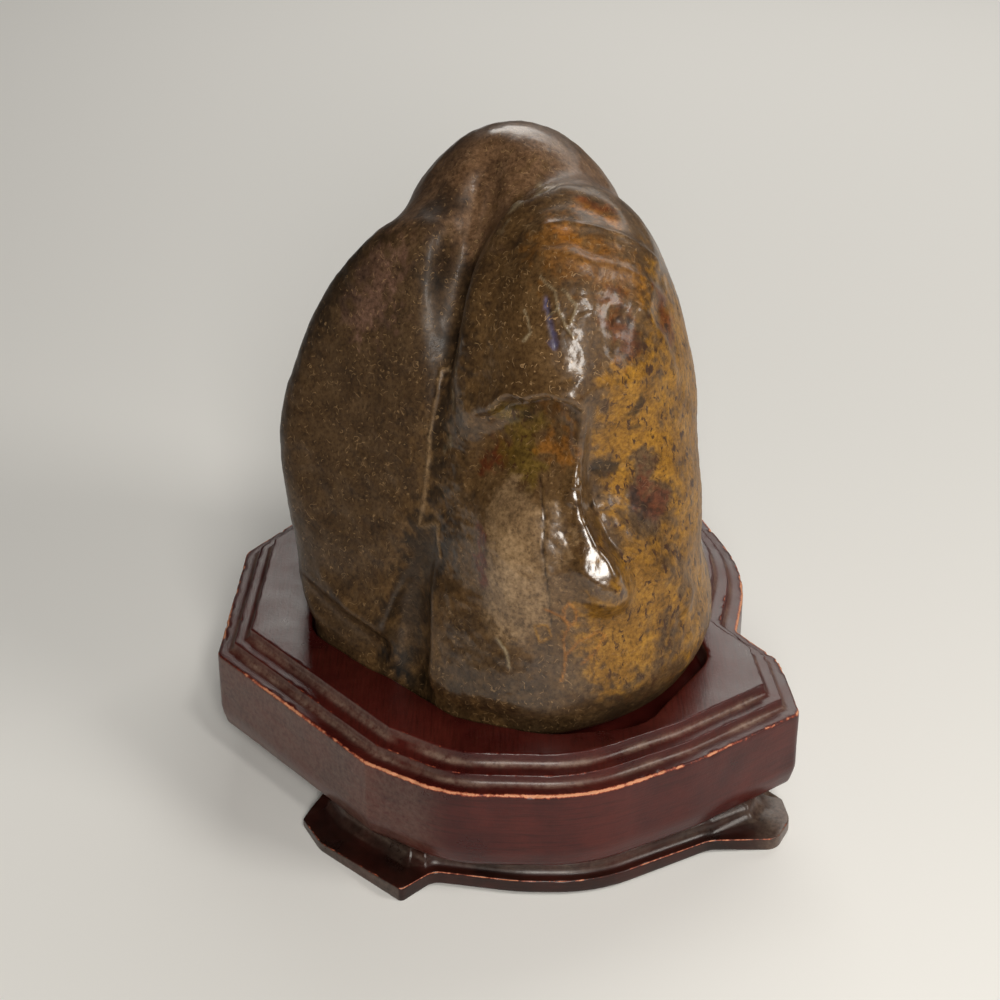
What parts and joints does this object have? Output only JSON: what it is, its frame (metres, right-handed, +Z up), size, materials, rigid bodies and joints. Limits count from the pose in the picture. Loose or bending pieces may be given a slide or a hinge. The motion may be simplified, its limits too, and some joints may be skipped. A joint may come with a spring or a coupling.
{
  "type": "scholar's rock on a wooden stand",
  "caption": "Polished domed stone with a deep front cleft, resting in the hollow of a stepped, lacquered wooden stand with flared feet.",
  "frame": {"origin": "on the surface it stands on, below the middle of the stand's outline", "axes": "+Z up, -Y towards the front with the cleft and the brow, +X to the right seen from the front, +Y along the stand's longer side"},
  "size_m": [0.1629, 0.1908, 0.1766],
  "materials": {
    "waxed_stone": "gloss",
    "lacquered_wood": "satin",
    "lacquered_wood_base": "satin"
  },
  "bodies": {
    "root": {"stone": "waxed_stone", "stand_body": "lacquered_wood", "stand_base": "lacquered_wood_base"}
  },
  "joints": []
}
